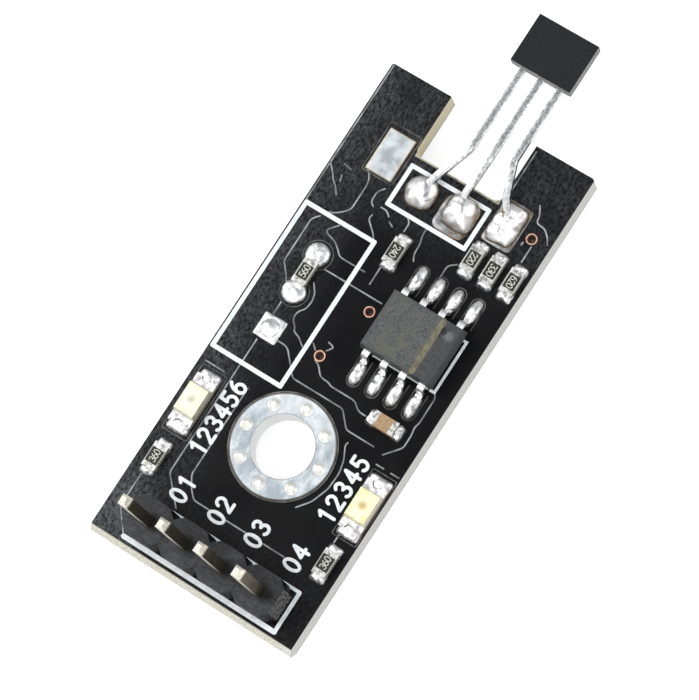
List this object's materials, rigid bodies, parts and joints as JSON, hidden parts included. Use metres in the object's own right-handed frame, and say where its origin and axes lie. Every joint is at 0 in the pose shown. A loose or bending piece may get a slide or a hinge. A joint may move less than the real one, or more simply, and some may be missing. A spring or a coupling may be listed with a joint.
{
  "type": "hall sensor module",
  "caption": "Small black circuit board with a plated mounting hole, a pin header, a comparator and a leaded magnetic field sensor reaching over its notched end.",
  "frame": {"origin": "centre of the mounting hole, on the underside of the board", "axes": "+Z out of the component side of the board, +Y from the pin header to the sensor, +X across the board"},
  "size_m": [0.014, 0.0389, 0.0115],
  "materials": {
    "solder_mask": "gloss black coating on glass-filled board",
    "tinned_copper": "flat bright tin plating",
    "bare_copper": "bare copper rim",
    "header_moulding": "moulded black plastic",
    "pin_metal": "pale gold flash",
    "solder": "bright lumpy solder",
    "chip_moulding": "matt dark grey epoxy",
    "lead_tin": "matt tin plating",
    "white_ceramic": "white fired ceramic",
    "black_glaze": "black glaze",
    "tan_ceramic": "tan fired ceramic",
    "led_base": "white laminate",
    "led_resin": "pale yellow clouded resin",
    "sensor_moulding": "matt charcoal epoxy",
    "sensor_lead_tin": "bright tin plating"
  },
  "bodies": {
    "root": {"bare_pad": "tinned_copper", "capacitor_body": "tan_ceramic", "capacitor_end_caps": "lead_tin", "chip_solder": "solder", "circuit_board": "solder_mask", "comparator_body": "chip_moulding", "comparator_lead_1": "lead_tin", "comparator_lead_2": "lead_tin", "comparator_lead_3": "lead_tin", "comparator_lead_4": "lead_tin", "comparator_lead_5": "lead_tin", "comparator_lead_6": "lead_tin", "comparator_lead_7": "lead_tin", "comparator_lead_8": "lead_tin", "comparator_solder": "solder", "header_base": "header_moulding", "header_pin_1": "pin_metal", "header_pin_2": "pin_metal", "header_pin_3": "pin_metal", "header_pin_4": "pin_metal", "header_solder": "solder", "led_end_caps": "lead_tin", "led_left_base": "led_base", "led_left_lens": "led_resin", "led_right_base": "led_base", "led_right_lens": "led_resin", "mounting_hole_ring": "tinned_copper", "resistor_1_ceramic": "white_ceramic", "resistor_2_ceramic": "white_ceramic", "resistor_3_ceramic": "white_ceramic", "resistor_4_ceramic": "white_ceramic", "resistor_5_ceramic": "white_ceramic", "resistor_6_ceramic": "white_ceramic", "resistor_7_ceramic": "white_ceramic", "resistor_coats": "black_glaze", "resistor_end_caps": "lead_tin", "sensor_body": "sensor_moulding", "sensor_lead_left": "sensor_lead_tin", "sensor_lead_middle": "sensor_lead_tin", "sensor_lead_right": "sensor_lead_tin", "sensor_solder_left": "solder", "sensor_solder_middle": "solder", "sensor_solder_right": "solder", "trimmer_solder_1": "solder", "trimmer_solder_2": "solder", "trimmer_solder_3": "solder", "via_rims": "bare_copper"}
  },
  "joints": []
}
